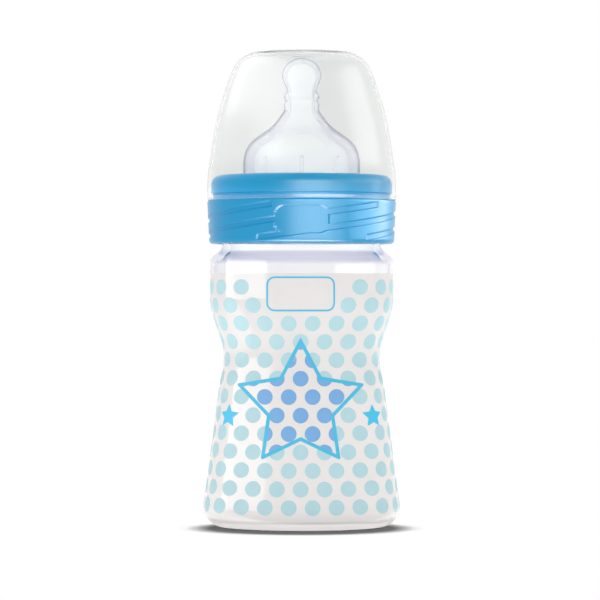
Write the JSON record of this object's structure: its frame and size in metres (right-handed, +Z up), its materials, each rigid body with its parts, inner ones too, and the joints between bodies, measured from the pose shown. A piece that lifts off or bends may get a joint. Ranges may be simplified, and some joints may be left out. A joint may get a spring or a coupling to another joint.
{
  "type": "baby bottle",
  "caption": "Small waisted feeding bottle with a printed milky body, a blue screw collar with slanted grip grooves, a clear silicone teat and a clear dome cap that pulls off.",
  "frame": {"origin": "centre of the base, on the surface that the bottle stands on", "axes": "+Z up along the bottle's axis, front with the plain plate of the collar facing -Y"},
  "size_m": [0.0598, 0.0596, 0.1445],
  "materials": {
    "bottle_plastic": "milky translucent polypropylene with an ink print, clear at the neck",
    "teat_silicone": "clear silicone with a faint lavender tint, satin",
    "collar_plastic": "sky blue moulded polypropylene, glossy",
    "cap_plastic": "clear, slightly hazy polypropylene"
  },
  "bodies": {
    "bottle": {"bottle_body": "bottle_plastic"},
    "teat": {"teat": "teat_silicone"},
    "collar": {"screw_collar": "collar_plastic"},
    "cap": {"protective_cap": "cap_plastic"}
  },
  "joints": [
    {"name": "teat_lift", "type": "slide", "parent": "bottle", "child": "teat", "axis": [0, 0, 1], "range_m": [0, 0.0075]},
    {"name": "collar_turn", "type": "hinge", "parent": "teat", "child": "collar", "pos_m": [0, 0, 0.095], "axis": [0, 0, 1], "range_deg": [0, 540]},
    {"name": "cap_pull", "type": "slide", "parent": "collar", "child": "cap", "axis": [0, 0, 1], "range_m": [0, 0.05]}
  ],
  "couplings": [
    {"joint": "teat_lift", "follows": "collar_turn", "m_per_rad": 0.00079577}
  ]
}
